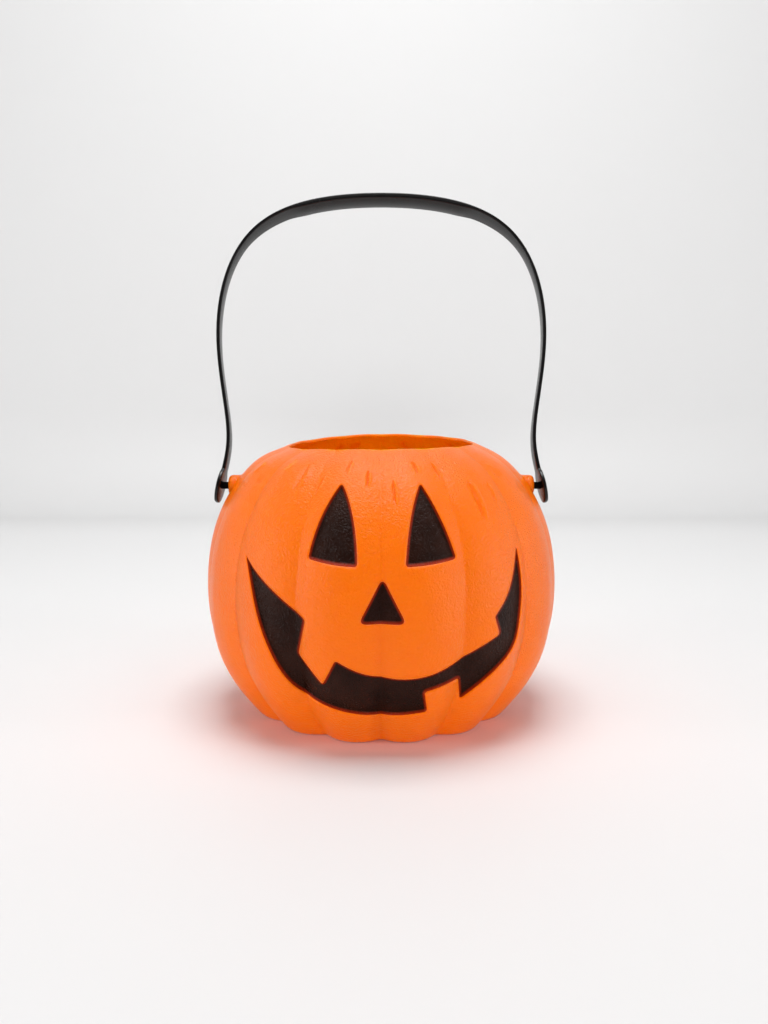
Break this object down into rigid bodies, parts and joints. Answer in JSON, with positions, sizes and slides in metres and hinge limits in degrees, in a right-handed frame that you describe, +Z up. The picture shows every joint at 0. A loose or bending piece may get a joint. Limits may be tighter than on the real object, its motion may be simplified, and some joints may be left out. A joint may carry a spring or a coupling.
{
  "type": "pumpkin candy pail",
  "caption": "Orange plastic pumpkin candy pail with a sunken black jack-o'-lantern face and a black strap handle that swings on side pins",
  "frame": {"origin": "centre of the pail's standing ring, on the surface it stands on", "axes": "+Z up, +X to the viewer's right when facing the pail, the face looks towards -Y; the hinge axis is along X"},
  "size_m": [0.2174, 0.2142, 0.3215],
  "materials": {
    "orange_shell": "semi-gloss moulded polyethylene with a fine orange-peel grain",
    "black_handle": "semi-gloss black moulded plastic",
    "face_paint": "satin black sprayed paint"
  },
  "bodies": {
    "pail": {"pail_shell": "orange_shell", "left_eye_paint": "face_paint", "right_eye_paint": "face_paint", "nose_paint": "face_paint", "mouth_paint": "face_paint"},
    "handle": {"carry_handle": "black_handle"}
  },
  "joints": [
    {"name": "handle_swing", "type": "hinge", "parent": "pail", "child": "handle", "pos_m": [0, 0, 0.137], "axis": [1, 0, 0], "range_deg": [-82, 118]}
  ]
}
